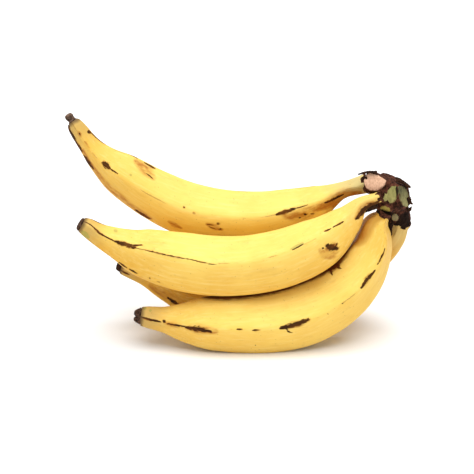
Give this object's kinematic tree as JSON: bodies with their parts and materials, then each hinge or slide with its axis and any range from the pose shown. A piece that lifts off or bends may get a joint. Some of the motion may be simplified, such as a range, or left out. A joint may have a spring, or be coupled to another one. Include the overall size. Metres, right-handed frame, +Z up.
{
  "type": "hand of plantains",
  "caption": "Hand of ripe yellow plantains joined at one cut crown, lying on a table: ridged curved fruits with dried dark flower ends.",
  "frame": {"origin": "on the table, under the middle of the hand's bounding box", "axes": "+X along the fruits towards the crown, -Y the side with the front fruit, +Z up"},
  "size_m": [0.2764, 0.101, 0.1806],
  "materials": {
    "peel": "satin waxy peel, lemon yellow with golden shaded sides and dark brown scars",
    "crown_skin": "rough dried stalk tissue, brown-purple with olive green cut faces"
  },
  "bodies": {
    "root": {"crown": "crown_skin", "plantain_top": "peel", "plantain_middle": "peel", "plantain_front": "peel", "plantain_back": "peel"}
  },
  "joints": []
}
